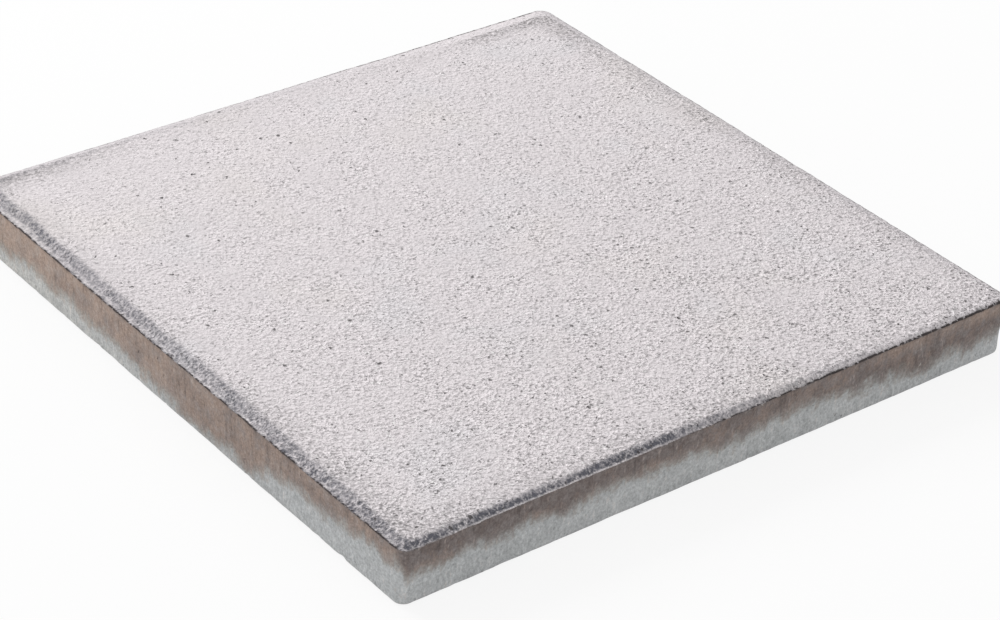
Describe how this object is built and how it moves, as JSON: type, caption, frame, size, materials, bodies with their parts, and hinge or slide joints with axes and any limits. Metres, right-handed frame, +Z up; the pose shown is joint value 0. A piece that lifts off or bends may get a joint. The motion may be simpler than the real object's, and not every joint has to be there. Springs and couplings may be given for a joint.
{
  "type": "concrete paving slab",
  "caption": "Square cast concrete paving slab, thin and flat, with a narrow lip and a soft bevel round its wearing face and rounded upright corners; laid on a bed as outdoor flooring.",
  "frame": {"origin": "centre of the underside, at the level of the bed it is laid on", "axes": "+Z up through the wearing face; X and Y along the sides of the square, with the picture's two visible sides facing -X (left) and -Y (right)"},
  "size_m": [0.4, 0.4, 0.035],
  "materials": {
    "concrete": "matt cast concrete with a fine grain, small pits and brown-stained sides"
  },
  "bodies": {
    "root": {"paving_slab": "concrete"}
  },
  "joints": []
}
